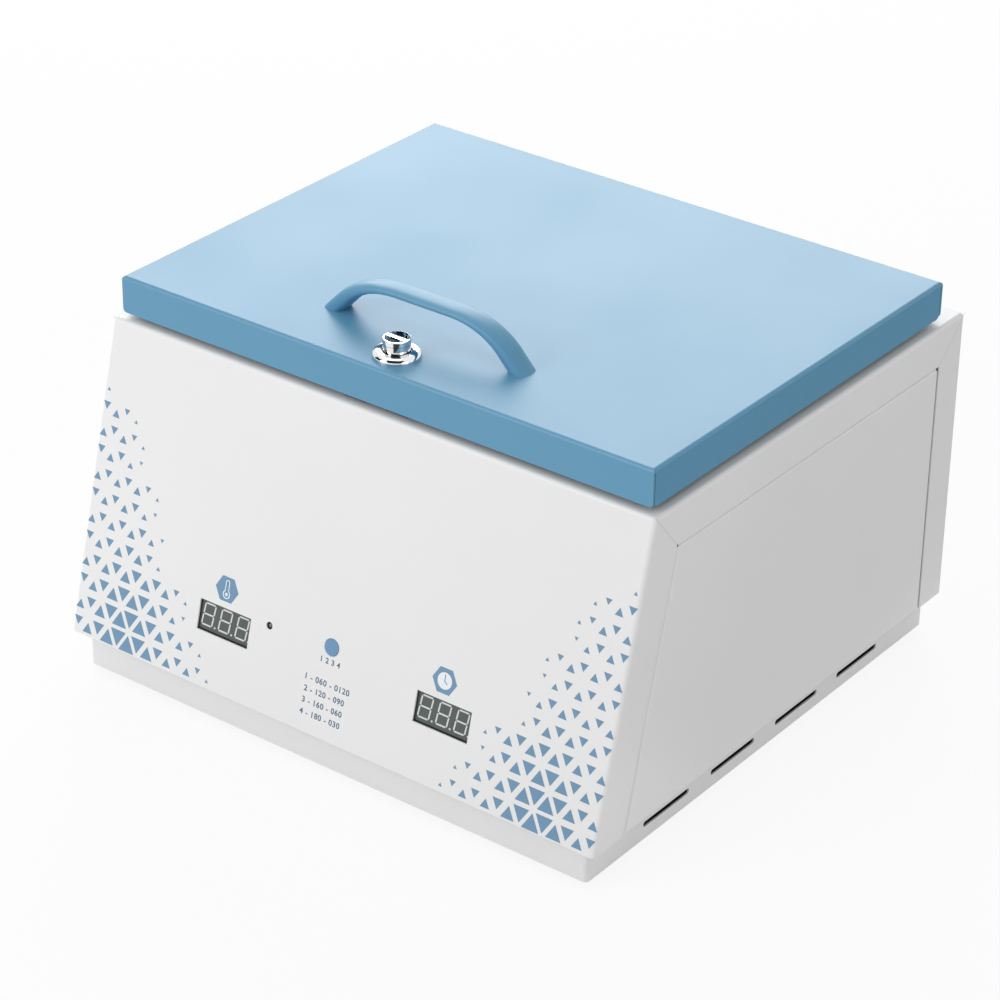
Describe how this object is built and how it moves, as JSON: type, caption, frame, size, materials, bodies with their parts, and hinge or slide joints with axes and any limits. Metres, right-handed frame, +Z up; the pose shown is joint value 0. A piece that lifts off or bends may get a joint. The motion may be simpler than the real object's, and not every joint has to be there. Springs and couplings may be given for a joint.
{
  "type": "dry heat sterilizer",
  "caption": "Bench hot air box for instruments: wedge casing with leaning control front, heated steel chamber, hinged lid with bow handle and turn latch.",
  "frame": {"origin": "under the middle of the object's bounding box, on the plane that the rubber feet stand on", "axes": "+X to the right as seen from the front, +Y to the back, +Z up"},
  "size_m": [0.37, 0.3542, 0.2591],
  "materials": {
    "casing_paint": "fine textured powder coat",
    "lid_paint": "satin powder coat",
    "stainless": "brushed",
    "zinc_steel": "zinc plated",
    "chrome": "polished",
    "aluminium": "satin",
    "brass": "plain",
    "rubber": "matte",
    "silicone": "matte",
    "mineral_wool": "matte",
    "ceramic": "matte",
    "board": "satin",
    "black_plastic": "matte",
    "display": "glossy",
    "lamp": "clear",
    "button_blue": "satin"
  },
  "bodies": {
    "casing": {"outer_cover": "casing_paint", "side_panel_left": "casing_paint", "side_panel_right": "casing_paint", "base_pan": "casing_paint", "rubber_feet": "rubber", "foot_screws": "zinc_steel", "cover_screws": "zinc_steel", "chamber": "stainless", "chamber_insulation": "mineral_wool", "bracket_left": "zinc_steel", "bracket_right": "zinc_steel", "heating_element": "stainless", "heater_sleeves": "ceramic", "heater_clamps": "zinc_steel", "temperature_probe": "stainless", "probe_nut": "stainless", "thermal_cutout": "black_plastic", "instrument_tray": "stainless", "tray_rail_left": "stainless", "tray_rail_right": "stainless", "display_temperature": "display", "display_time": "display", "indicator_led": "lamp", "key_switch": "black_plastic", "control_board": "board", "power_board": "board", "board_standoffs": "brass", "board_screws": "zinc_steel", "transformer": "black_plastic", "heatsink": "aluminium", "terminal_block": "black_plastic", "mains_inlet": "black_plastic", "inlet_screws": "zinc_steel", "switch_housing": "black_plastic", "hinge_case_leaf_left": "stainless", "hinge_case_leaf_right": "stainless", "hinge_pin_left": "stainless", "hinge_pin_right": "stainless", "hinge_case_screws": "zinc_steel", "strike_plate": "zinc_steel"},
    "lid": {"lid_cover": "lid_paint", "lid_liner": "stainless", "lid_insulation": "mineral_wool", "lid_gasket": "silicone", "liner_studs": "zinc_steel", "liner_screws": "zinc_steel", "handle": "lid_paint", "handle_screws": "zinc_steel", "latch_body": "chrome", "latch_nut": "zinc_steel", "latch_fork": "chrome", "hinge_lid_leaf_left": "stainless", "hinge_lid_leaf_right": "stainless", "hinge_lid_screws": "zinc_steel"},
    "latch": {"latch_knob": "chrome", "latch_spindle": "zinc_steel", "latch_cam": "zinc_steel", "cam_screw": "zinc_steel"},
    "button": {"program_button": "button_blue"},
    "rocker": {"power_rocker": "black_plastic"}
  },
  "joints": [
    {"name": "lid_hinge", "type": "hinge", "parent": "casing", "child": "lid", "pos_m": [0, 0.15645, 0.2126], "axis": [-1, 0, 0], "range_deg": [0, 100]},
    {"name": "latch_turn", "type": "hinge", "parent": "lid", "child": "latch", "pos_m": [0, -0.10915, 0.2342], "axis": [0, 0, 1], "range_deg": [0, 90]},
    {"name": "button_press", "type": "slide", "parent": "casing", "child": "button", "axis": [0, 0.9698, -0.2438], "range_m": [0, 0.0008], "stiffness_N_per_m": 300, "springref_m": -0.0005},
    {"name": "rocker_turn", "type": "hinge", "parent": "casing", "child": "rocker", "pos_m": [0.076, 0.17135, 0.045], "axis": [1, 0, 0], "range_deg": [0, 20]}
  ]
}
